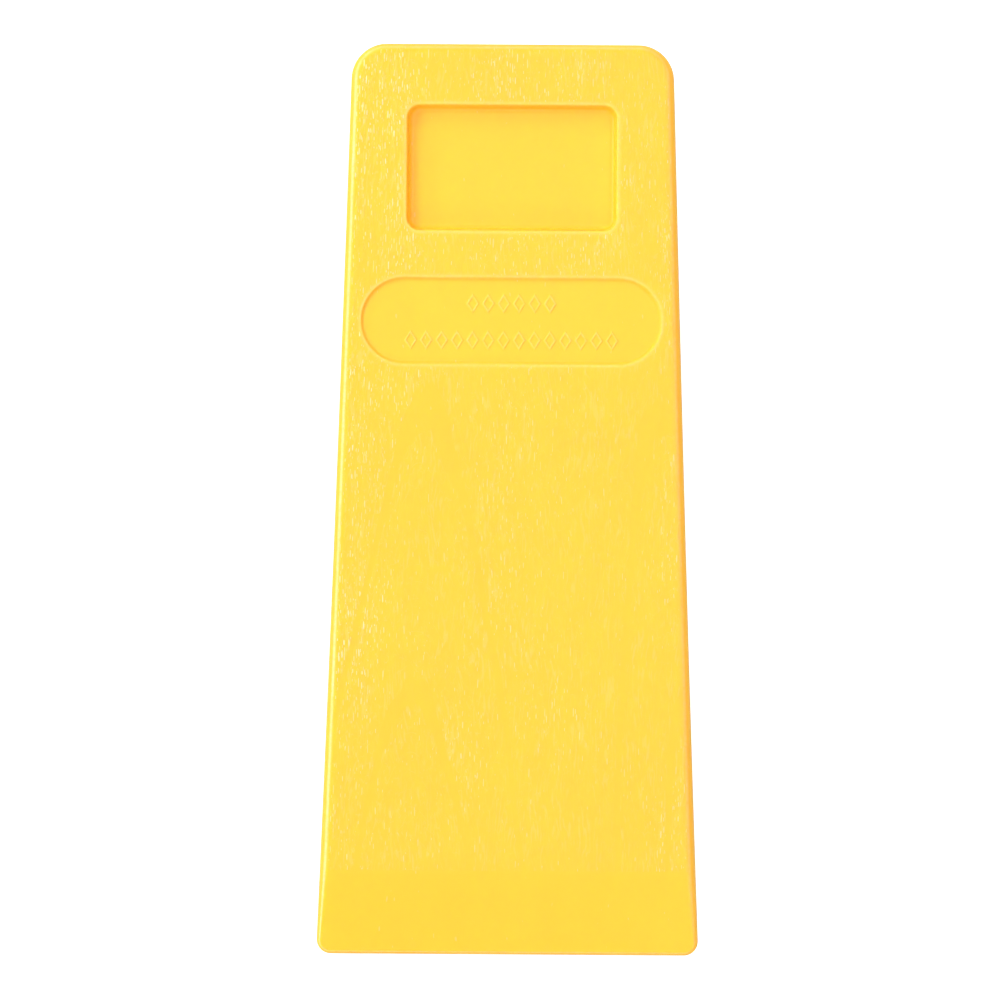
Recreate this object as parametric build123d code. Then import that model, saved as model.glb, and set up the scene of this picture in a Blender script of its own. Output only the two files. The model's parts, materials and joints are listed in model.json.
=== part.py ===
from build123d import *
import math
import os

# Felling wedge: one solid plastic moulding, driven into a saw kerf to lift and tip a tree.
#
# It is modelled in its own mid-plane frame: X across, Y from the tip edge towards the
# striking face, Z away from the mould's parting plane. At the end it is turned by its half
# angle to lie on its lower working face, with +Z up and the origin under the middle of
# the part. Sizes are in millimetres, angles in degrees.

# ---- wedge --------------------------------------------------------------------------
LENGTH = 200.0            # tip edge to striking face, along the mid-plane
TIP_WIDTH = 83.9          # across the parting line, sides carried on to the tip edge
HEAD_WIDTH = 70.9         # across the parting line, sides carried on to the striking face
HEAD_THICK = 28.0         # between the two working faces at the striking face
BEVEL_START = 18.0        # where the steeper entry bevel meets the working face
BEVEL_THICK = 7.0         # thickness there
TIP_THICK = 2.2           # blunt thickness of the tip edge
SIDE_DRAFT = 1.0          # draft of the side walls, each way from the parting line

HEAD_CORNER_R = 8.1       # plan corners of the striking end
TIP_CORNER_R = 3.0        # plan corners of the tip
EDGE_R = 2.4              # rounding along the edges of the working faces

# ---- label pocket, in both working faces --------------------------------------------
POCKET_W = 46.2           # across
POCKET_H = 27.6           # along
POCKET_Y = 172.4          # its middle, from the tip
POCKET_CORNER_R = 3.0
POCKET_DEPTH = 2.8
POCKET_DRAFT = 10.0
POCKET_FLOOR_R = 1.3      # rounding where its walls meet its floor
POCKET_RIM_R = 0.35

# ---- shallow round-ended panel, in both working faces -------------------------------
PANEL_W = 66.0            # across
PANEL_H = 19.0            # along
PANEL_Y = 138.8           # its middle, from the tip
PANEL_DEPTH = 0.7
PANEL_DRAFT = 30.0
PANEL_FLOOR_R = 0.4
PANEL_RIM_R = 0.25

# ---- raised lozenge studs on the panel floor ----------------------------------------
STUD_H = 0.2
STUD_LONG = 4.5           # along the wedge
STUD_WIDE = 2.9           # across
STUD_PITCH = 3.4
STUD_DRAFT = 20.0
STUD_ROWS = ((3.87, 6), (-4.18, 14))   # (offset from the panel's middle, studs in the row)

# ---- round gate mark sunk in the striking face --------------------------------------
GATE_R = 3.5
GATE_DEPTH = 0.4
GATE_NUB_R = 1.1          # what is left of the gate inside it
GATE_NUB_H = 0.25

# ---- construction allowances --------------------------------------------------------
PLAN_OVERRUN = 5.0        # planform past the striking face, before it is cut flat
TRIM_HALF_WIDTH = 60      # side prisms reach this far each way from the middle
BEVEL_CUT_TOP = 30        # bevel cutter's top, clear of the wedge
CUTTER_RISE = 4           # recess cutters stand this far out of the face
ROOT = 0.3                # how far studs and nub are sunk into the floor they stand on

# ---- derived ------------------------------------------------------------------------
HALF_HEAD = HEAD_THICK / 2
HALF_BEVEL = BEVEL_THICK / 2
HALF_TIP = TIP_THICK / 2
SLOPE = (HALF_HEAD - HALF_BEVEL) / (LENGTH - BEVEL_START)
BEVEL_SLOPE = (HALF_BEVEL - HALF_TIP) / BEVEL_START
HALF_ANGLE = math.degrees(math.atan(SLOPE))
WORK_TIP = HALF_BEVEL - SLOPE * BEVEL_START   # half thickness if the working faces ran on to the tip


def face_z(y):
    """Height of the upper working face above the mid-plane."""
    return WORK_TIP + SLOPE * y


def bevel_z(y):
    """Height of the upper entry bevel above the mid-plane."""
    return HALF_TIP + BEVEL_SLOPE * y


def face_plane(y, side=1):
    """Plane lying on a working face: the upper one for side 1, the lower one for side -1."""
    return Plane(
        origin=(0, y, side * face_z(y)), x_dir=(1, 0, 0), z_dir=(0, -SLOPE, side)
    )


def head_plane(depth):
    """Plane parallel to the striking face, this far inside it and facing out."""
    return Plane(origin=(0, LENGTH - depth, 0), x_dir=(1, 0, 0), z_dir=(0, 1, 0))


def flipped(shape):
    """The same shape on the other side of the mid-plane."""
    return mirror(shape, about=Plane.XY)


def cut_both_sides(body, cutter):
    return body - cutter - flipped(cutter)


def polygon(*points):
    return make_face(Polyline(*points, close=True))


def side_prism(*points):
    """A prism right across the wedge from an outline given as (along, up) points."""
    return extrude(Plane.YZ * polygon(*points), TRIM_HALF_WIDTH, both=True)


def planform():
    """Outline at the parting line, its sides carried on past the striking face."""
    narrowing = (TIP_WIDTH - HEAD_WIDTH) / LENGTH
    far_half = (HEAD_WIDTH - narrowing * PLAN_OVERRUN) / 2
    face = polygon(
        (-TIP_WIDTH / 2, 0),
        (TIP_WIDTH / 2, 0),
        (far_half, LENGTH + PLAN_OVERRUN),
        (-far_half, LENGTH + PLAN_OVERRUN),
    )
    return fillet([v for v in face.vertices() if v.Y < 1], TIP_CORNER_R)


def wedge_blank():
    """The solid wedge with its edges rounded, before the two entry bevels.

    The sides and tip draft away from the parting line, and the striking face is flat.
    """
    near = -1.0
    half = extrude(planform(), HEAD_THICK, taper=SIDE_DRAFT) & side_prism(
        (near, 0), (LENGTH, 0), (LENGTH, face_z(LENGTH)), (near, face_z(near))
    )
    # The upright edges of the striking face.
    head_corners = [
        e
        for e in half.edges().filter_by(GeomType.LINE)
        if all(abs(v.Y - LENGTH) < 0.01 for v in e.vertices())
        and abs((e @ 1).Z - (e @ 0).Z) > 5
    ]
    half = fillet(head_corners, HEAD_CORNER_R)
    blank = half + flipped(half)
    # The edges around both working faces.
    around = [
        e
        for e in blank.edges()
        if all(abs(abs(v.Z) - face_z(v.Y)) < 0.02 for v in e.vertices())
    ]
    return fillet(around, EDGE_R)


def entry_bevel():
    """What the upper entry bevel takes off."""
    near, far = -3.0, BEVEL_START + 5.0
    return side_prism(
        (near, bevel_z(near)), (far, bevel_z(far)), (far, BEVEL_CUT_TOP), (near, BEVEL_CUT_TOP)
    )


def recess_cutter(sketch, depth, draft, floor_r):
    """Cutter for a drafted recess, drawn at z = 0 with its floor at -depth."""
    down = extrude(sketch, depth, dir=(0, 0, -1), taper=draft)
    floor = down.edges().filter_by_position(Axis.Z, -depth - 0.01, -depth + 0.01)
    down = fillet(floor, floor_r)
    return down + extrude(sketch, CUTTER_RISE, dir=(0, 0, 1))


def soften_rim(body, plane, width, height, radius):
    """Round the rim of a recess of this size that opens on the plane."""
    rim = []
    for e in body.edges():
        points = [plane.to_local_coords(e @ t) for t in (0, 0.5, 1)]
        if all(
            abs(p.Z) < 0.01 and abs(p.X) < width / 2 + 0.1 and abs(p.Y) < height / 2 + 0.1
            for p in points
        ):
            rim.append(e)
    return fillet(rim, radius)


def panel_studs():
    """Two centred rows of lozenges, drawn with the working face at z = 0."""
    studs = []
    for offset, count in STUD_ROWS:
        for i in range(count):
            x = (i - (count - 1) / 2) * STUD_PITCH
            base = Pos(0, 0, -PANEL_DEPTH) * polygon(
                (x - STUD_WIDE / 2, offset),
                (x, offset - STUD_LONG / 2),
                (x + STUD_WIDE / 2, offset),
                (x, offset + STUD_LONG / 2),
            )
            studs.append(
                extrude(base, STUD_H, taper=STUD_DRAFT) + extrude(base, ROOT, dir=(0, 0, -1))
            )
    return studs


def add_gate_mark(body):
    """Sink the round mark in the striking face and stand the nub on its floor."""
    body = body - head_plane(GATE_DEPTH) * extrude(Circle(GATE_R), 2 * GATE_DEPTH)
    nub = extrude(Circle(GATE_NUB_R), GATE_NUB_H + ROOT)
    return body + head_plane(GATE_DEPTH + ROOT) * nub


def wedge():
    body = cut_both_sides(wedge_blank(), entry_bevel())

    pocket = recess_cutter(
        RectangleRounded(POCKET_W, POCKET_H, POCKET_CORNER_R),
        POCKET_DEPTH, POCKET_DRAFT, POCKET_FLOOR_R,
    )
    panel = recess_cutter(
        SlotOverall(PANEL_W, PANEL_H), PANEL_DEPTH, PANEL_DRAFT, PANEL_FLOOR_R
    )
    body = cut_both_sides(body, face_plane(POCKET_Y) * pocket)
    body = cut_both_sides(body, face_plane(PANEL_Y) * panel)

    for side in (1, -1):
        body = soften_rim(body, face_plane(POCKET_Y, side), POCKET_W, POCKET_H, POCKET_RIM_R)
        body = soften_rim(body, face_plane(PANEL_Y, side), PANEL_W, PANEL_H, PANEL_RIM_R)

    for stud in panel_studs():
        placed = face_plane(PANEL_Y) * stud
        body = body + placed + flipped(placed)

    return add_gate_mark(body)


def at_rest(body):
    """Lie the wedge on its lower working face, centred, with that face on z = 0."""
    turned = Rot(HALF_ANGLE, 0, 0) * body
    lift = WORK_TIP * math.cos(math.radians(HALF_ANGLE))
    box = turned.bounding_box()
    return Pos(
        -(box.min.X + box.max.X) / 2, -(box.min.Y + box.max.Y) / 2, lift
    ) * turned


os.makedirs("parts", exist_ok=True)
export_step(at_rest(wedge()), "parts/wedge_body.step")
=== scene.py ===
"""A yellow moulded felling wedge with wood-grain faces, lying on its lower working face.

Row frame, in metres: x across, y from the tip edge to the striking face, z up.
The part is modelled in millimetres in its mid-plane frame, with the same x and y and with z
away from the mould's parting plane, then tilted into the row frame.
"""
import json
import math
from dataclasses import dataclass

import bpy
import numpy as np
from mathutils import Matrix, Vector

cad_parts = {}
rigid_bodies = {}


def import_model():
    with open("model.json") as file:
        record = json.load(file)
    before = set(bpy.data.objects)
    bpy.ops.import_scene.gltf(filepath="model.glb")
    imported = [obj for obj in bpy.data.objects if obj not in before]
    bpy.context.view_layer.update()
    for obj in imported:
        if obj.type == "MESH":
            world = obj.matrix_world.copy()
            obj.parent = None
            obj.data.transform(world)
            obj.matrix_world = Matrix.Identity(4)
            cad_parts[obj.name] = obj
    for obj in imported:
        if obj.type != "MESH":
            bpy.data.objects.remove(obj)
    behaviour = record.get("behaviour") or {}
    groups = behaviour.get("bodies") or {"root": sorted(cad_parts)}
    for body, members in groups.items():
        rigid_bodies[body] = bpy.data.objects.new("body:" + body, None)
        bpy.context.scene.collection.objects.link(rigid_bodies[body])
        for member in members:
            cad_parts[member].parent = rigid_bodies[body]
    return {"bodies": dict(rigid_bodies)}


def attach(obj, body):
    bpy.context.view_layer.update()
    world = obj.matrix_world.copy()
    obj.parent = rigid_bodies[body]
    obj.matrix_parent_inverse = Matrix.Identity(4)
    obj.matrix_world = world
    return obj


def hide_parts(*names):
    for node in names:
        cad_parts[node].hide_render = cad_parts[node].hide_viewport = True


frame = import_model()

scene = bpy.context.scene
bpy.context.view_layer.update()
MM = 0.001

# ---------------------------------------------------------------------------------
# Dimensions of the wedge, in millimetres
# ---------------------------------------------------------------------------------
LENGTH = 200.0
TIP_WIDTH, HEAD_WIDTH = 83.9, 70.9
HALF_HEAD, HALF_BEVEL, HALF_TIP = 14.0, 3.5, 1.1  # half thicknesses
BEVEL_START = 18.0        # y where the entry bevel meets the working face
BEVEL_BLEND = 0.035       # how far their meeting line is broken
HEAD_CORNER_R, TIP_CORNER_R = 8.1, 3.0
EDGE_R, TIP_EDGE_R = 2.4, 0.85
EDGE_BLEND = 6.0          # run beyond the bevel over which the edge radius changes
SIDE_DRAFT = math.tan(math.radians(1.0))
SIDE_SINK = 0.22          # how far the long sides are drawn in half-way along
REST_SHIFT = 100.1602     # centres the resting part on its box along y

STUD_HEIGHT, STUD_LONG, STUD_WIDE, STUD_PITCH = 0.17, 4.5, 2.9, 3.4
STUD_ROWS = ((3.87, 6), (-4.18, 14))  # (y from the panel's middle, count)

SLOPE = (HALF_HEAD - HALF_BEVEL) / (LENGTH - BEVEL_START)
BEVEL_SLOPE = (HALF_BEVEL - HALF_TIP) / BEVEL_START
WORK_TIP = HALF_BEVEL - SLOPE * BEVEL_START  # working plane's height at y = 0
ANGLE = math.atan(SLOPE)
SIDE = math.atan((TIP_WIDTH - HEAD_WIDTH) / 2 / LENGTH)

# Mesh spacing: runs of (end, step). The edges of recesses and the bevel get fine steps.
ROW_RUNS = (
    (16.6, 0.5), (19.4, 0.14), (128.6, 0.34), (131.6, 0.11), (146.6, 0.13),
    (149.8, 0.11), (157.6, 0.3), (162.6, 0.1), (183.0, 0.4), (188.0, 0.1),
)
HEAD_ROW_STEP = 0.28
COLUMNS_END = 24.0        # fixed columns reach here, stretched ones go on to the edge
COLUMN_RUNS = ((19.0, 0.15), (23.4, 0.1), (COLUMNS_END, 0.15))
STRETCHED_COLUMNS = 82
TIP_ARC_POINTS, HEAD_ARC_POINTS = 13, 39
ROUND_END = math.radians(89.0)  # where the edge rounding meets the drafted wall
UPPER_ROUND_RINGS, LOWER_ROUND_RINGS = 12, 10
# wall rings as shares of the wall's height: close near the parting line and the gate mark
WALL_SHARES = np.concatenate([
    np.linspace(1, 0.34, 7)[1:], np.linspace(0.34, 0.03, 14)[1:], [0.018, 0.008, 0.0]])


def smooth(x, start, end):
    share = np.clip((x - start) / (end - start), 0.0, 1.0)
    return share * share * (3 - 2 * share)


def bell(x, width):
    return np.exp(-((x / width) ** 2))


@dataclass
class Recess:
    """A rounded rectangle sunk into the working face; draft in degrees."""
    x: float
    y: float
    width: float
    height: float
    corner_r: float
    depth: float
    draft: float
    floor_r: float
    rim_r: float
    slump: float
    slump_width: float

    def outside(self, x, y):
        """Signed distance to the outline, negative inside."""
        over_x = np.abs(x - self.x) - self.width / 2 + self.corner_r
        over_y = np.abs(y - self.y) - self.height / 2 + self.corner_r
        corner = np.hypot(np.maximum(over_x, 0), np.maximum(over_y, 0))
        return corner + np.minimum(np.maximum(over_x, over_y), 0) - self.corner_r

    def profile(self):
        """(distance in from the outline, depth) down a rounded rim, drafted wall and foot."""
        steep = math.radians(90 - self.draft)
        points = [(self.rim_r * math.sin(turn), self.rim_r * (1 - math.cos(turn)))
                  for turn in np.linspace(0, steep, 12)]
        foot_in, foot_down = points[-1]
        run = max(self.depth - foot_down - self.floor_r * (1 - math.cos(steep)), 0.0)
        foot_in += run / math.tan(steep)
        foot_down += run
        points += [(foot_in + self.floor_r * (math.sin(steep) - math.sin(turn)),
                    foot_down + self.floor_r * (math.cos(turn) - math.cos(steep)))
                   for turn in np.linspace(steep, 0, 16)]
        return np.array(points)

    def drop(self, x, y):
        """How far the surface sinks at (x, y), floor slump included."""
        inward = -self.outside(x, y)
        along, down = self.profile().T
        sunk = np.interp(inward, along, down, left=0.0)
        return sunk + self.slump * np.exp(np.minimum(inward, 0) / self.slump_width)


POCKET = Recess(x=-0.10, y=172.4, width=46.9, height=28.3, corner_r=3.3, depth=2.8, draft=10.0,
                floor_r=1.3, rim_r=0.5, slump=0.03, slump_width=0.5)
PANEL = Recess(x=0.0, y=138.8, width=66.5, height=19.5, corner_r=9.75, depth=0.7, draft=30.0,
               floor_r=0.6, rim_r=0.4, slump=0.02, slump_width=0.4)


def rim_distance(x, y):
    """Signed distance to the nearer recess outline, negative inside it."""
    return np.minimum(POCKET.outside(x, y), PANEL.outside(x, y))


def studs(x, y):
    """Raised lozenge outlines on the panel floor, 0 to 1."""
    half_x, half_y = STUD_WIDE / 2, STUD_LONG / 2
    raised = np.zeros_like(x)
    for offset, count in STUD_ROWS:
        first = -(count - 1) / 2 * STUD_PITCH
        nearest = np.clip(np.round((x - first) / STUD_PITCH), 0, count - 1)
        from_x = np.abs(x - first - nearest * STUD_PITCH)
        from_y = np.abs(y - PANEL.y - offset)
        inward = 1 - from_x / half_x - from_y / half_y
        inward = inward * half_x * half_y / math.hypot(half_x, half_y)
        line = smooth(inward, -0.02, 0.16) * (1 - smooth(inward, 0.36, 0.56))
        raised = np.maximum(raised, line)
    return raised


# ---------------------------------------------------------------------------------
# Moulded wood grain: maps over the working face, relief in units of its full height
# ---------------------------------------------------------------------------------
GRAIN_HEIGHT = 0.075
DX, DY = 0.06, 0.12       # map cell
MAP_WIDTH = 86.0
MAP_LEFT = -MAP_WIDTH / 2
NX, NY = int(MAP_WIDTH / DX), int(LENGTH / DY)
PORE_TRIES = 45000
UPPER_SEED, LOWER_SEED = 11, 29

# smooth bands between the porous rings, in ring number: (from, to, how smooth)
BANDS = (
    (14, 16.5, 0.4), (30, 32, 0.5), (42, 44, 0.6), (57.5, 64.5, 0.95), (79, 81, 0.45),
    (91, 93, 0.5), (104, 105.5, 0.4), (116.5, 123.5, 0.95), (137, 139, 0.5), (150, 152, 0.5),
    (168, 170, 0.5), (181, 184, 0.6), (200, 202, 0.5), (214, 217, 0.6), (236, 238, 0.5),
    (252, 255, 0.6), (275, 278, 0.6),
)


def noise_map(rng, across, along):
    """Gaussian-filtered white noise with unit deviation and the given grain in mm."""
    noise = rng.standard_normal((NY, NX))
    freq_y = np.fft.fftfreq(NY, DY)[:, None]
    freq_x = np.fft.rfftfreq(NX, DX)[None, :]
    keep = np.exp(-2 * math.pi**2 * ((freq_x * across) ** 2 + (freq_y * along) ** 2))
    noise = np.fft.irfft2(np.fft.rfft2(noise) * keep, s=(NY, NX))
    return noise / noise.std()


def toward_tip(y):
    """0 just below the panel, growing to the tip."""
    return (121.5 - y) / 63.6


def ring_number(x, y, wobble):
    """Growth rings cut as cathedrals: the level lines are nested arches with a valley between."""
    bent = x + 1.2 * np.sin(y / 23.0) + 0.5 * wobble
    left, right = -19.5, 31.0 + 11.0 * toward_tip(y)
    off = np.minimum(np.abs(bent - left), np.abs(bent - right))
    # rounded crowns whose legs run steeply down and meet in a narrow valley
    return y + np.where(off < 10.0, 0.27 * off**2, 27.0 + 5.4 * (off - 10.0)) + 3.0 * wobble


def ring_bands(level):
    """How open the grain is at each ring level, and the edges of the smooth bands."""
    openness, lines = np.ones_like(level), np.zeros_like(level)
    for start, end, strength in BANDS:
        rise = smooth(level, start - 0.5, start + 0.5)
        openness -= strength * rise * (1 - smooth(level, end - 0.5, end + 0.5))
        for edge in (start, end):
            lines += strength * bell(level - edge, 0.35)
    return np.clip(openness, 0.0, 1.0), lines


def grain_strength(x, y, patch):
    """Relief is strong near the recess rims, down the -x third and along the +x edge."""
    low = np.clip(toward_tip(y), 0, 1.6)
    # where this is strong the pale dashes crowd; along the -x third, the +x edge and round the
    # rims this also paints the glints that the lamps throw there
    strong = (0.50 + 0.20 * smooth(y, 118, 150)
              + 0.36 * smooth(-x, 14 + 10 * low, 27 + 6 * low)
              - 0.16 * smooth(x, 12, 26) + 0.34 * smooth(x, 30, 35)
              + 0.18 * np.exp(-np.abs(rim_distance(x, y)) / 1.2))
    return np.clip(strong + 0.12 * patch, 0.25, 1.05)


def pore_relief(rng, xs, ys, level, openness, strong):
    """Height map of thousands of slender ridges that lean along the growth rings."""
    px = rng.uniform(MAP_LEFT, MAP_LEFT + NX * DX, PORE_TRIES)
    py = rng.uniform(0.0, NY * DY, PORE_TRIES)
    ix = np.clip(((px - MAP_LEFT) / DX).astype(int), 0, NX - 1)
    iy = np.clip((py / DY).astype(int), 0, NY - 1)
    chance = openness[iy, ix] * (0.25 + 0.5 * strong[iy, ix])
    keep = rng.uniform(0, 1, PORE_TRIES) < chance
    px, py, ix, iy = px[keep], py[keep], ix[keep], iy[keep]
    count = len(px)
    half_length = np.clip(rng.lognormal(0.15, 0.55, count), 0.45, 4.2) / 2
    width = rng.uniform(0.11, 0.19, count)
    tall = rng.uniform(0.35, 1.0, count) * strong[iy, ix]
    lean = rng.normal(0, 0.03, count)
    slope = ((level[:, 2:] - level[:, :-2]) / (2 * DX))[iy, np.clip(ix, 0, NX - 3)]
    lean += np.clip(-1.0 / np.where(np.abs(slope) < 3, 1e9, slope), -0.12, 0.12)
    bend = rng.normal(0, 0.05, count)

    relief = np.zeros((NY, NX), np.float32)
    reach = 0.6           # half-width of the patch each ridge is stamped on
    for k in range(count):
        half = half_length[k]
        j0, j1 = max(int((py[k] - half) / DY), 0), min(int((py[k] + half) / DY) + 2, NY)
        i0 = max(int((px[k] - reach - MAP_LEFT) / DX), 0)
        i1 = min(int((px[k] + reach - MAP_LEFT) / DX) + 2, NX)
        if j1 <= j0 or i1 <= i0:
            continue
        up = ys[j0:j1, None] - py[k]
        share = up / half
        centre = px[k] + lean[k] * up + bend[k] * (share * share - 0.4)
        taper = np.clip(1.15 - share * share, 0, 1)
        side = (xs[None, i0:i1] - centre) / (width[k] * (0.55 + 0.45 * taper))
        ridge = np.clip(1 - side * side, 0, 1) * np.sqrt(taper) * tall[k]
        patch = relief[j0:j1, i0:i1]
        np.maximum(patch, ridge, out=patch)
    return relief


def grain_maps(seed):
    """Modelled relief, how thickly pores mark the surface, and the growth ring number."""
    rng = np.random.default_rng(seed)
    xs = MAP_LEFT + DX * (np.arange(NX) + 0.5)
    ys = DY * (np.arange(NY) + 0.5)
    x, y = np.meshgrid(xs, ys)
    ring = ring_number(x, y, noise_map(rng, across=5.0, along=14.0))
    level = ring + 0.5 * noise_map(rng, across=0.5, along=1.8)
    openness, lines = ring_bands(level)
    strong = grain_strength(x, y, noise_map(rng, across=4.0, along=9.0))
    relief = pore_relief(rng, xs, ys, level, openness, strong)

    # broken, wormy relief between the pores
    worm = noise_map(rng, across=0.16, along=0.34)
    worm = worm - 0.5 * noise_map(rng, across=0.5, along=1.2)
    worm = np.clip((worm - 0.35) / 1.3, 0, 1) * openness * (0.35 + 0.65 * strong)
    # long faint fibres
    fibre = np.clip(noise_map(rng, across=0.16, along=6.0) - 0.4, 0, 2) * 0.5
    fibre = fibre * (0.35 + 0.65 * openness)
    # the band edges are fine broken lines
    broken = np.clip(noise_map(rng, across=0.3, along=0.8) * 0.5 + 0.5, 0, 1)
    relief = relief + 0.42 * worm * (1 - 0.6 * relief) + 0.2 * fibre + 0.3 * lines * broken
    return [grid.astype(np.float32) for grid in (relief, openness * strong, ring)]


def sample(grid, x, y):
    """Bilinear look-up in a grain map."""
    fx = np.clip((x - MAP_LEFT) / DX - 0.5, 0, NX - 1.001)
    fy = np.clip(y / DY - 0.5, 0, NY - 1.001)
    i, j = fx.astype(int), fy.astype(int)
    u, v = fx - i, fy - j
    near = grid[j, i] * (1 - u) * (1 - v) + grid[j, i + 1] * u * (1 - v)
    return near + grid[j + 1, i] * (1 - u) * v + grid[j + 1, i + 1] * u * v


def grain_mask(x, y):
    """1 on the textured working face, 0 in the recesses and on the entry bevel."""
    mask = smooth(POCKET.outside(x, y), 0.05, 0.5) * smooth(PANEL.outside(x, y), 0.05, 0.4)
    return mask * smooth(y, BEVEL_START + 0.05, BEVEL_START + 0.5)


def marks(x, y, maps):
    """Point values over the face: relief, textured, pores, ring number."""
    relief, pores, ring = (sample(grid, x, y) for grid in maps)
    mask = grain_mask(x, y)
    return relief * mask, mask, pores * mask, ring


# ---------------------------------------------------------------------------------
# Body: two halves meeting at the parting line, the lower one meshed half as finely.
# Points are rows of x, y, z and the five VALUES.
# ---------------------------------------------------------------------------------
# one value marks wear together with a painted highlight on the edge roundings, recess rims and
# lozenges
VALUES = ("grain", "textured", "pores", "wear_and_highlight", "ring")


def plain_face(y):
    """Height of the working face and entry bevel, their meeting line just broken."""
    work, bevel = WORK_TIP + SLOPE * y, HALF_TIP + BEVEL_SLOPE * y
    return (work + bevel - np.sqrt((work - bevel) ** 2 + BEVEL_BLEND**2)) / 2


def plain_slope(y):
    step = 0.01
    return (plain_face(y + step) - plain_face(y - step)) / (2 * step)


def face_points(x, y, maps):
    raised = studs(x, y)
    relief, mask, pores, ring = marks(x, y, maps)
    z = plain_face(y) - POCKET.drop(x, y) - PANEL.drop(x, y)
    z = z + raised * STUD_HEIGHT + relief * GRAIN_HEIGHT
    # painted highlight with some wear: the recess rims and the raised lozenges are made paler, as
    # where the lamps catch them
    wear_and_highlight = 0.38 * bell(rim_distance(x, y), 0.42) + 0.32 * raised
    return np.stack([x, y, z, relief, mask, pores, wear_and_highlight, ring], axis=-1)


def stations(start, *runs):
    """Positions from start through runs of (end, step), without the last end."""
    places = []
    for end, step in runs:
        count = int(round((end - start) / step))
        places += list(np.linspace(start, end, count + 1)[:-1])
        start = end
    return places


def corner(centre_x, centre_y, radius, angles):
    return [(centre_x + radius * math.cos(turn), centre_y + radius * math.sin(turn),
             math.cos(turn), math.sin(turn)) for turn in angles]


def outline_rows():
    """+x side of the plan from tip to head, one row per grid row: x, y, normal x, normal y."""
    c, s = math.cos(SIDE), math.sin(SIDE)
    tip_x = TIP_WIDTH / 2 - TIP_CORNER_R * (1 + s) / c
    head_y = LENGTH - HEAD_CORNER_R
    head_x = TIP_WIDTH / 2 - (HEAD_CORNER_R + s * head_y) / c
    rows = corner(tip_x, TIP_CORNER_R, TIP_CORNER_R,
                  np.linspace(-math.pi / 2, SIDE, TIP_ARC_POINTS)[:-1])
    side_start = TIP_CORNER_R + TIP_CORNER_R * s
    side_end = head_y + HEAD_CORNER_R * s
    for y in stations(side_start, *ROW_RUNS, (side_end, HEAD_ROW_STEP)):
        share = (y - side_start) / (side_end - side_start)
        x = tip_x + TIP_CORNER_R * c - (y - side_start) / c * s
        rows.append((x - SIDE_SINK * 4 * share * (1 - share), y, c, s))
    rows += corner(head_x, head_y, HEAD_CORNER_R,
                   np.linspace(SIDE, math.pi / 2, HEAD_ARC_POINTS))
    if len(rows) % 2 == 0:  # an odd count lets the lower half take every other row
        below, above = rows[20:22]
        rows.insert(21, ((below[0] + above[0]) / 2, (below[1] + above[1]) / 2, c, s))
    rows = np.array(rows)
    grow = smooth(rows[:, 1], -EDGE_BLEND, BEVEL_START + EDGE_BLEND)
    return np.column_stack([rows, TIP_EDGE_R + (EDGE_R - TIP_EDGE_R) * grow])


def inset(px, py, nx, ny, radius):
    """Where the edge rounding leaves the face: plan point, centre height and start angle."""
    qx, qy = px - nx * radius, py - ny * radius
    for _ in range(6):
        start = np.arctan(plain_slope(qy) * ny)
        centre_z = plain_face(qy) - radius * np.cos(start)
        back = radius + radius * np.sin(start) + SIDE_DRAFT * centre_z
        qx, qy = px - nx * back, py - ny * back
    return qx, qy, centre_z, start


def straight_edge(xs, row, facing):
    """Outline rows along the tip or striking edge, at the y and edge radius of a row."""
    edge = np.tile([0.0, row[1], 0.0, facing, row[4]], (len(xs), 1))
    edge[:, 0] = xs
    return edge


def face_grid(rows, maps, step):
    """One face's points, quads and boundary loop, and the outline row of each loop point."""
    rows = rows[::step]
    edge_x, edge_y, _, _ = inset(*rows.T)
    fixed = np.array(stations(0.0, *COLUMN_RUNS))
    stretched = COLUMNS_END + (edge_x[:, None] - COLUMNS_END) * np.linspace(
        0, 1, STRETCHED_COLUMNS)
    half = np.hstack([np.tile(fixed, (len(rows), 1)), stretched])
    x = np.concatenate([-half[:, :0:-1], half], axis=1)[:, ::step]
    y = np.repeat(edge_y[:, None], x.shape[1], axis=1)
    points = face_points(x, y, maps)
    points[0, :, 2] = plain_face(edge_y[0])

    index = np.arange(x.size).reshape(x.shape)
    quads = [index[:-1, :-1], index[:-1, 1:], index[1:, 1:], index[1:, :-1]]
    loop = np.concatenate([index[0], index[1:, -1], index[-1, -2::-1], index[-2:0:-1, 0]])
    outline = np.concatenate([
        straight_edge(x[0], rows[0], -1),
        rows[1:],
        straight_edge(x[-1, -2::-1], rows[-1], 1),
        rows[-2:0:-1] * [-1, 1, -1, 1, 1],
    ])
    return points.reshape(-1, 8), np.stack(quads, axis=-1).reshape(-1, 4), loop, outline


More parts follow.
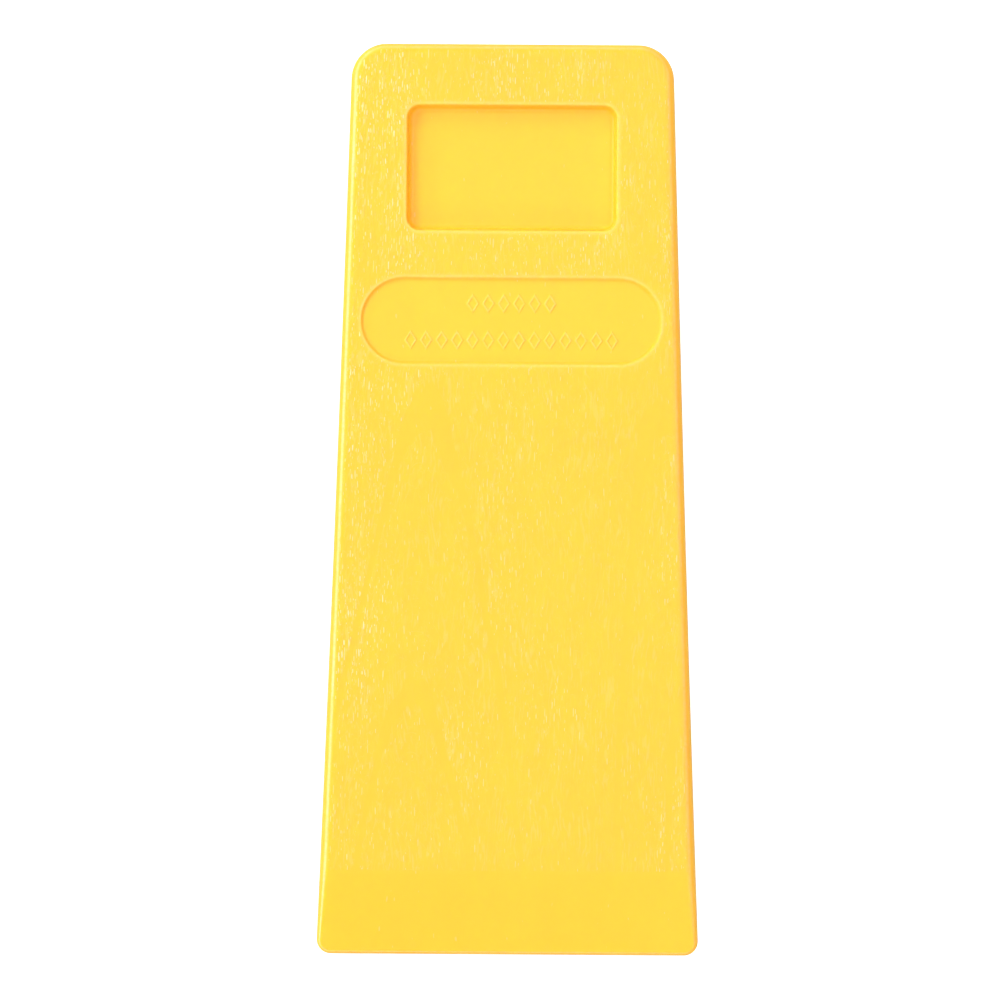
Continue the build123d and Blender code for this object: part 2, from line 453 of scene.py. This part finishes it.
def rounding_rings(outline, maps, count):
    """Rings over the edge rounding, from the face to the wall; the grain fades out on them."""
    px, py, nx, ny, radius = outline.T
    _, _, centre_z, start = inset(*outline.T)
    back = SIDE_DRAFT * centre_z + radius
    rings = []
    for k in range(1, count + 1):
        turn = -start + (ROUND_END + start) * k / count
        out = radius * np.sin(turn)
        x, y = px - nx * back + nx * out, py - ny * back + ny * out
        z = centre_z + radius * np.cos(turn)
        degrees = np.degrees(turn)
        fade = 1 - smooth(degrees, 12, 62)
        relief, mask, pores, ring = marks(x, y, maps)
        relief = relief * fade
        lift = relief * GRAIN_HEIGHT
        # painted highlight with some wear: a pale band at the turn of the rounding that faces the
        # lamps, strongest along the -x edge
        highlight_degrees = 36.0 - 6.0 * nx**2 - 3.0 * nx
        wear_and_highlight = bell(degrees - highlight_degrees, 8) * (0.62 + 0.18 * nx**2 - 0.30 * nx)
        rings.append(np.stack([
            x + nx * np.sin(turn) * lift, y + ny * np.sin(turn) * lift,
            z + np.cos(turn) * lift, relief, mask * fade, pores * fade, wear_and_highlight, ring], axis=1))
    return rings


def gate_drop(x, z):
    """Sunk gate mark in the middle of the striking face, with the stub of the gate in it."""
    off = np.hypot(x, z)
    return 0.4 * (1 - smooth(off, 3.2, 3.7)) - 0.3 * (1 - smooth(off, 0.8, 1.3))


def wall_rings(outline):
    """Rings down the drafted wall to the fine bead at the parting line."""
    px, py, nx, ny, radius = outline.T
    _, _, centre_z, _ = inset(*outline.T)
    rings = []
    for share in WALL_SHARES:
        z = (centre_z + radius * math.cos(ROUND_END)) * share
        gate = np.where(ny > 0.999, gate_drop(px, z), 0.0)
        back = SIDE_DRAFT * z - 0.10 * bell(z, 0.16) + gate
        plain = [np.zeros_like(z)] * len(VALUES)
        rings.append(np.stack([px - nx * back, py - ny * back, z] + plain, axis=1))
    return rings


class Shell:
    """Collects points and faces; rings are bridged one after another."""

    def __init__(self):
        self.points, self.quads, self.triangles = [], [], []
        self.count = 0
        self.last = None

    def add(self, points, below=False):
        """Store points, mirrored below the parting plane if asked, and return their indices."""
        points = points.copy()
        if below:
            points[:, 2] *= -1
        self.points.append(points)
        indices = self.count + np.arange(len(points))
        self.count += len(points)
        return indices

    def bridge(self, ring):
        last = self.last
        self.quads.append(
            np.stack([last, ring, np.roll(ring, -1), np.roll(last, -1)], axis=-1))
        self.last = ring

    def halve(self, ring):
        """Join the last ring to one with half as many points."""
        first, middle, end = self.last[0::2], self.last[1::2], np.roll(self.last[0::2], -1)
        following = np.roll(ring, -1)
        self.triangles += [
            np.stack(corners, axis=-1) for corners in (
                (first, ring, middle), (middle, ring, following), (middle, following, end))]
        self.last = ring


def build_wedge():
    rows = outline_rows()
    upper, lower = grain_maps(UPPER_SEED), grain_maps(LOWER_SEED)
    shell = Shell()
    points, quads, shell.last, outline = face_grid(rows, upper, 1)
    shell.add(points)
    shell.quads.append(quads)
    wall = wall_rings(outline)
    for ring in rounding_rings(outline, upper, UPPER_ROUND_RINGS) + wall:
        shell.bridge(shell.add(ring))
    # both halves share the parting line; the lower wall keeps every point
    for ring in wall[-2::-1]:
        shell.bridge(shell.add(ring, below=True))

    points, quads, loop, outline = face_grid(rows, lower, 2)
    shell.quads.append(quads[:, ::-1] + shell.count)
    loop = loop + shell.count
    shell.add(points, below=True)
    first, *others = rounding_rings(outline, lower, LOWER_ROUND_RINGS)[::-1]
    shell.halve(shell.add(first, below=True))
    for ring in others:
        shell.bridge(shell.add(ring, below=True))
    shell.bridge(loop)
    return [np.concatenate(part) for part in (shell.points, shell.quads, shell.triangles)]


def to_row(points):
    """Mid-plane millimetres to the row frame in metres, on the lower working face."""
    c, s = math.cos(ANGLE), math.sin(ANGLE)
    x, y, z = points.T
    placed = [x, y * c - z * s - REST_SHIFT, y * s + z * c + WORK_TIP * c]
    return np.stack(placed, axis=1) * MM


def make_mesh(name, points, quads, triangles):
    mesh = bpy.data.meshes.new(name)
    mesh.vertices.add(len(points))
    mesh.vertices.foreach_set("co", points.astype(np.float32).ravel())
    loops = np.concatenate([quads.ravel(), triangles.ravel()]).astype(np.int32)
    starts = np.concatenate(
        [np.arange(len(quads)) * 4, quads.size + np.arange(len(triangles)) * 3])
    mesh.loops.add(len(loops))
    mesh.loops.foreach_set("vertex_index", loops)
    mesh.polygons.add(len(starts))
    mesh.polygons.foreach_set("loop_start", starts.astype(np.int32))
    mesh.update(calc_edges=True)
    mesh.polygons.foreach_set("use_smooth", np.ones(len(starts), bool))
    mesh.update()
    return mesh


points, quads, triangles = build_wedge()
row_points = to_row(points[:, :3])
mesh = make_mesh("felling_wedge_body", row_points, quads, triangles)
for label, column in zip(VALUES, points[:, 3:].T):
    attribute = mesh.attributes.new(label, "FLOAT", "POINT")
    attribute.data.foreach_set("value", column.astype(np.float32))
wedge = bpy.data.objects.new("felling_wedge_body", mesh)
scene.collection.objects.link(wedge)


# ---------------------------------------------------------------------------------
# Node helpers
# ---------------------------------------------------------------------------------
def operator(operation, swapped=False):
    """A Signal method that adds one math node."""
    def apply(self, other=0.0):
        first, second = (other, self) if swapped else (self, other)
        return self.nodes.add("ShaderNodeMath", {0: first, 1: second}, operation=operation)
    return apply


class Signal:
    """A node's output; arithmetic on it adds nodes."""

    def __init__(self, nodes, node, output):
        self.nodes, self.node, self.output = nodes, node, output

    __add__, __radd__ = operator("ADD"), operator("ADD", swapped=True)
    __sub__, __rsub__ = operator("SUBTRACT"), operator("SUBTRACT", swapped=True)
    __mul__, __truediv__ = operator("MULTIPLY"), operator("DIVIDE")
    __pow__, __abs__ = operator("POWER"), operator("ABSOLUTE")
    floor, fract = operator("FLOOR"), operator("FRACT")
    maximum, minimum = operator("MAXIMUM"), operator("MINIMUM")
    below, pingpong = operator("LESS_THAN"), operator("PINGPONG")

    def outputs(self, *names):
        return [Signal(self.nodes, self.node, name) for name in names]

    def clamped(self):
        self.node.use_clamp = True
        return self

    def ramp(self, start, end, low=0.0, high=1.0):
        """Smooth step from low to high as the signal goes from start to end."""
        return self.nodes.add("ShaderNodeMapRange", {
            "Value": self, "From Min": start, "From Max": end, "To Min": low, "To Max": high,
        }, interpolation_type="SMOOTHSTEP")

    def swing(self, amount):
        """A noise signal turned into a drift of up to amount either way."""
        return self.ramp(0.3, 0.7, -amount, amount)

    def noise(self, scale, along=1.0, detail=3.0, rough=0.5, turn=0.0):
        """Noise at this position; along below 1 stretches it lengthwise."""
        mapped = self.nodes.add("ShaderNodeMapping", {
            "Vector": self, "Scale": (1, along, 1), "Rotation": (0, 0, turn)})
        return self.nodes.add("ShaderNodeTexNoise", {
            "Vector": mapped, "Scale": scale, "Detail": detail, "Roughness": rough,
        }, output="Fac")

    def sideways(self, amount):
        """This position moved across by amount."""
        offset = self.nodes.add("ShaderNodeCombineXYZ", {"X": amount})
        return self.nodes.add("ShaderNodeVectorMath", {0: self, 1: offset}, operation="ADD")


class Nodes:
    """A node tree, emptied and then filled one node at a time."""

    def __init__(self, tree):
        self.tree = tree
        tree.nodes.clear()

    def add(self, kind, inputs=(), output=0, **settings):
        node = self.tree.nodes.new(kind)
        for name, value in settings.items():
            setattr(node, name, value)
        for key, value in dict(inputs).items():
            if isinstance(value, Signal):
                self.tree.links.new(value.node.outputs[value.output], node.inputs[key])
            else:
                node.inputs[key].default_value = value
        return Signal(self, node, output)

    def mix(self, factor, first, second):
        return self.add("ShaderNodeMix", {"Factor": factor, "A": first, "B": second},
                        output="Result", data_type="RGBA")


def new_material(name):
    material = bpy.data.materials.new(name)
    material.use_nodes = True
    return material, Nodes(material.node_tree)


# ---------------------------------------------------------------------------------
# Yellow moulded plastic; texture scales are per metre
# ---------------------------------------------------------------------------------
YELLOW_PLAIN = (0.98, 0.485, 0.0235, 1)
YELLOW = (0.98, 0.475, 0.0245, 1)
YELLOW_PALE = (0.99, 0.67, 0.37, 1)
# how much paler each mark is; the dashes and crests also carry painted glints, and the rubbed
# roundings, rims and lozenges a painted highlight
DASH_AND_GLINT_PALE, WORM_PALE, CREST_AND_GLINT_PALE, HIGHLIGHT_AND_WEAR_PALE = 1.15, 0.18, 0.08, 0.6
RIDGE_PALE, NICK_PALE = 0.10, 0.22
# bump heights in millimetres
DASH_H, WORM_H, RIDGE_H, FIBRE_H, NICK_H = 0.03, 0.015, 0.020, 0.010, 0.008
PEEL_PLAIN_H, PEEL_GRAIN_H = 0.0035, 0.001
ROUGH_PLAIN, ROUGH_GRAIN, ROUGH_LEAST = 0.34, 0.38, 0.288
RUBBED_SMOOTHER = 0.06    # roughness lost on pale crests and worn roundings


def pore_dashes(nodes, place, pores, width, pitch, share, seed):
    """Upright dashes in columns, at most one every pitch, as many as the pores allow."""
    x, y = nodes.add("ShaderNodeSeparateXYZ", {"Vector": place}).outputs("X", "Y")
    u = x / width + (500.37 + seed)
    column = u.floor()
    shift = nodes.add("ShaderNodeTexWhiteNoise", {"W": column + seed}, output="Value",
                      noise_dimensions="1D")
    v = y / pitch + (400.0 + shift * 57.0)
    cell = nodes.add("ShaderNodeCombineXYZ", {"X": column, "Y": v.floor(), "Z": seed})
    dice, colour = nodes.add("ShaderNodeTexWhiteNoise", {"Vector": cell},
                             noise_dimensions="3D").outputs("Value", "Color")
    red, green, blue = nodes.add(
        "ShaderNodeSeparateColor", {"Color": colour}).outputs("Red", "Green", "Blue")
    # distance from this cell's dash centre, and the dash's half-width and half-length
    from_u = u.fract() - 0.30 - green * 0.40
    from_v = v.fract() - 0.36 - blue * 0.28
    half_width = 0.13 + red * 0.14
    half_length = 0.10 + blue * 0.24
    far = abs(from_u / half_width) ** 2.0 + abs(from_v / half_length) ** 4.0
    inside = ((1.0 - far).clamped() * 1.8).clamped()
    # some columns carry long chains of dashes, and dashes crowd where pores are thick
    chain = place.noise(0.9 / width, along=0.035, detail=1.0).ramp(0.36, 0.66, 0.15, 2.0)
    crowd = pores ** 3.0 * share
    return inside * dice.below(crowd * chain) * (0.35 + red * 0.65)


def worm_lines(place, pores):
    """Thin wriggling ridges along the level lines of a noise, broken into short pieces."""
    scale, width = 1150.0, 0.035
    level = place.noise(scale, along=0.45, detail=1.0, rough=0.4)
    line = (1.0 - abs(level - 0.5) / width).clamped()
    gaps = place.noise(scale * 0.9, along=0.7, detail=0.0, turn=0.7).ramp(0.48, 0.58)
    return line * gaps * pores.minimum(1.0)


def fibre_ridges(place):
    """Long wavy fibres that come and go, steered sideways by two slower waves."""
    wave = (place.noise(70.0, along=0.6, detail=1.0) - 0.5) * 0.006
    wriggle = (place.noise(420.0, along=0.5, detail=1.0) - 0.5) * 0.0009
    steered = place.sideways(wave + wriggle)
    ridge = steered.noise(2300.0, along=0.035, detail=1.0).ramp(0.53, 0.63)
    return ridge * place.noise(260.0, along=0.4, detail=1.0).ramp(0.38, 0.62, 0.15, 1.0)


def ring_ridges(place, ring):
    """A fine ridge at each growth ring, broken along its length."""
    edge = (ring + 200.0).pingpong(2.0).ramp(0.0, 0.14, 1.0, 0.0)
    return edge * place.noise(900.0, along=0.4, detail=1.0).ramp(0.45, 0.6)


def small_nicks(place):
    """The tallest peaks of stretched noise at two headings."""
    one, other = (place.noise(scale, along=0.35, detail=0.0, turn=turn).ramp(0.84, 0.88)
                  for turn, scale in ((0.5, 1700.0), (-1.2, 1300.0)))
    return one.maximum(other)


def plastic():
    material, nodes = new_material("yellow_moulded_plastic")
    place = nodes.add("ShaderNodeTexCoord", output="Object")
    grain, textured, pores, wear_and_highlight, ring = (
        nodes.add("ShaderNodeAttribute", output="Fac", attribute_name=label)
        for label in VALUES)

    cloud = place.noise(28.0, detail=2.0)    # slow change of tone through the moulding
    flow = place.noise(160.0, along=0.18)    # flow lines along the part
    speck = place.noise(2600.0, detail=2.0)
    drift = place.noise(140.0, along=0.25, detail=2.0)

    # fine grain: dashes that wander a little from upright, and wormy ridges between them
    swayed = place.sideways((drift - 0.5) * 0.0022)
    dash = pore_dashes(nodes, swayed, pores, width=0.00062, pitch=0.0033, share=0.50, seed=3.0)
    dash = dash.maximum(pore_dashes(
        nodes, swayed, pores, width=0.00050, pitch=0.0018, share=0.34, seed=11.0))
    worm = worm_lines(swayed, pores)
    fibre = place.noise(3000.0, along=0.05, detail=2.0, rough=0.6)
    ridge = fibre_ridges(place).maximum(ring_ridges(place, ring))
    # the bands between the porous rings are smooth: hardly any fibre, and a shade deeper
    openness = pores.ramp(0.06, 0.24, 0.12, 1.0)
    ridge, fibre = ridge * openness, fibre * openness
    nicks = small_nicks(place)
    # wear and the painted highlight on the roundings and rims come and go along them
    rub_and_highlight = wear_and_highlight * place.noise(900.0, rough=0.7).ramp(0.3, 0.75, 0.55, 1.15)

    # colour: pigment tone drifts slightly; dashes, ridges and rubbed roundings are paler, the
    # dashes and crests partly as painted glints and the roundings, rims and lozenges partly as a
    # painted highlight
    tone = cloud.swing(0.012) + flow.swing(0.008) + speck.swing(0.006)
    tone = tone + textured * fibre.ramp(0.2, 0.7, -0.02, 0.015)
    skin = nodes.mix(textured * openness, YELLOW_PLAIN, YELLOW)
    pale = (dash * DASH_AND_GLINT_PALE).maximum(worm * WORM_PALE)
    pale = pale.maximum(grain.ramp(0.3, 1.1, 0.0, CREST_AND_GLINT_PALE))
    pale = pale + ridge * textured * RIDGE_PALE
    pale = pale.maximum(rub_and_highlight * HIGHLIGHT_AND_WEAR_PALE).maximum(nicks * NICK_PALE)
    base = nodes.mix(pale, skin, YELLOW_PALE)
    colour = nodes.add("ShaderNodeHueSaturation", {"Color": base, "Value": tone + 1.0})

    # satin on the grain, glossier in the plain panels, rubbed smoother on the crests
    rough = textured.ramp(0.0, 1.0, ROUGH_PLAIN, ROUGH_GRAIN) + flow.swing(0.02)
    rough = rough + cloud.swing(0.02) - pale * RUBBED_SMOOTHER
    rough = (rough - wear_and_highlight * RUBBED_SMOOTHER).maximum(ROUGH_LEAST)

    # relief too fine for the mesh
    peel = place.noise(1300.0, detail=2.0)
    height = (dash * DASH_H).maximum(worm * WORM_H)
    height = height + fibre * (textured * FIBRE_H) + ridge * (textured * RIDGE_H)
    height = height + peel * textured.ramp(0.0, 1.0, PEEL_PLAIN_H, PEEL_GRAIN_H)
    height = height - nicks * NICK_H
    bump = nodes.add("ShaderNodeBump", {"Height": height, "Strength": 1.0, "Distance": MM})

    shader = nodes.add("ShaderNodeBsdfPrincipled", {
        "Base Color": colour,
        "Roughness": rough,
        "Normal": bump,
        "Specular IOR Level": 0.45,
        "IOR": 1.5,
        "Subsurface Weight": 0.55,
        "Subsurface Radius": (1.0, 0.60, 0.07),
        "Subsurface Scale": 0.0018,
    })
    nodes.add("ShaderNodeOutputMaterial", {"Surface": shader})
    return material


mesh.materials.append(plastic())
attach(wedge, "felling_wedge" if "felling_wedge" in frame["bodies"] else "root")
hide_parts("wedge_body")


# ---------------------------------------------------------------------------------
# Stage: pale floor, soft studio light, and the camera square on to the upper face
# ---------------------------------------------------------------------------------
WHITE = (1, 1, 1, 1)
SEEN_WHITE = 1.02         # strength of the far floor and world as the camera sees them
FLOOR_LIFT = 0.5          # glow added to the near floor as the camera sees it
FLOOR_HALF = 30
FLOOR_GAP = 0.00005


def floor_material():
    """Bright when seen directly, a calmer grey in what it throws back at the part."""
    material, nodes = new_material("studio_floor")
    place = nodes.add("ShaderNodeNewGeometry", output="Position")
    away = nodes.add("ShaderNodeVectorMath", {0: place}, output="Value", operation="LENGTH")
    seen = nodes.add("ShaderNodeLightPath", output="Is Camera Ray")
    tone = nodes.mix(seen, (0.55, 0.55, 0.55, 1), (0.93, 0.93, 0.93, 1))
    paper = nodes.add("ShaderNodeBsdfDiffuse", {"Color": tone})
    lift = nodes.add("ShaderNodeEmission", {"Color": WHITE, "Strength": seen * FLOOR_LIFT})
    near = nodes.add("ShaderNodeAddShader", {0: paper, 1: lift})
    far = nodes.add("ShaderNodeEmission", {
        "Color": WHITE, "Strength": seen.ramp(0.0, 1.0, 0.5, SEEN_WHITE)})
    both = nodes.add("ShaderNodeMixShader", {0: away.ramp(0.28, 0.8), 1: near, 2: far})
    nodes.add("ShaderNodeOutputMaterial", {"Surface": both})
    return material


floor_mesh = bpy.data.meshes.new("studio_floor")
floor_mesh.from_pydata(
    [(x * FLOOR_HALF, y * FLOOR_HALF, 0) for x, y in ((-1, -1), (1, -1), (1, 1), (-1, 1))],
    [], [(0, 1, 2, 3)])
floor = bpy.data.objects.new("studio_floor", floor_mesh)
floor.location.z = row_points[:, 2].min() - FLOOR_GAP
floor_mesh.materials.append(floor_material())
scene.collection.objects.link(floor)

# axes of the upper working face in the row frame
TILT = 2 * ANGLE
ACROSS = Vector((1, 0, 0))
ALONG = Vector((0, math.cos(TILT), math.sin(TILT)))
OUTWARD = Vector((0, -math.sin(TILT), math.cos(TILT)))
# the point of the upper face looked at, from mid-plane millimetres
FOCUS_X, FOCUS_Y = -2.11, 99.46
FOCUS = Vector(to_row(np.array([[FOCUS_X, FOCUS_Y, WORK_TIP + SLOPE * FOCUS_Y]]))[0])

LIGHT_GAIN = 1.01         # common factor on all the lamps
# name, place from the focus (across, along, out), width, height, radiance, mirrored
SOFTBOXES = (
    ("overhead", (0.0, 0.22, 1.4), 1.3, 1.3, 1.08, True),
    ("key_left", (-0.90, 0.32, 0.85), 1.1, 0.42, 6.4, False),
    ("strip_left", (-1.12, 0.10, 0.42), 1.1, 0.14, 11.0, True),
    ("key_top", (-0.25, 1.15, 0.70), 1.2, 0.35, 4.2, False),
    ("strip_top", (-0.20, 1.25, 0.50), 1.3, 0.08, 7.0, True),
    ("key_tip", (0.0, -1.15, 0.60), 1.2, 0.3, 4.0, True),
    ("fill_right", (0.70, 0.0, 1.06), 1.6, 0.05, 20.0, True),
)


def softbox(name, offset, width, height, radiance, mirrored):
    """A rectangular lamp aimed at the focus."""
    data = bpy.data.lights.new(name, "AREA")
    data.shape, data.size, data.size_y = "RECTANGLE", width, height
    data.energy = LIGHT_GAIN * radiance * math.pi * width * height
    lamp = bpy.data.objects.new(name, data)
    x, y, z = offset
    lamp.location = FOCUS + ACROSS * x + ALONG * y + OUTWARD * z
    lamp.rotation_mode = "QUATERNION"
    lamp.rotation_quaternion = (FOCUS - lamp.location).to_track_quat("-Z", "Y")
    lamp.visible_camera = False
    lamp.visible_glossy = mirrored
    scene.collection.objects.link(lamp)


def studio_world():
    """White to the camera, a dim dome to the part."""
    world = bpy.data.worlds.new("studio")
    scene.world = world
    world.use_nodes = True
    nodes = Nodes(world.node_tree)
    seen = nodes.add("ShaderNodeLightPath", output="Is Camera Ray")
    dome, white = (nodes.add("ShaderNodeBackground", {"Color": WHITE, "Strength": strength})
                   for strength in (0.4, SEEN_WHITE))
    pick = nodes.add("ShaderNodeMixShader", {0: seen, 1: dome, 2: white})
    nodes.add("ShaderNodeOutputWorld", {"Surface": pick})


DISTANCE = 1.0
ROLL = math.radians(0.375)
VIEW_WIDTH = 0.21971027   # width of the view at the focus
SENSOR_WIDTH = 36.0


def face_camera():
    data = bpy.data.cameras.new("camera")
    data.sensor_fit, data.sensor_width = "HORIZONTAL", SENSOR_WIDTH
    data.lens = SENSOR_WIDTH * DISTANCE / VIEW_WIDTH
    data.clip_start, data.clip_end = 0.05, 60.0
    camera = bpy.data.objects.new("camera", data)
    up = ALONG * math.cos(ROLL) - ACROSS * math.sin(ROLL)
    right = ACROSS * math.cos(ROLL) + ALONG * math.sin(ROLL)
    placed = Matrix((right, up, OUTWARD)).transposed().to_4x4()
    placed.translation = FOCUS + OUTWARD * DISTANCE
    camera.matrix_world = placed
    scene.collection.objects.link(camera)
    scene.camera = camera


for lamp_settings in SOFTBOXES:
    softbox(*lamp_settings)
studio_world()
face_camera()

view = scene.view_settings
view.view_transform = "Standard"
view.look = "None"
view.exposure = 0.0
view.gamma = 1.0

bpy.context.view_layer.update()
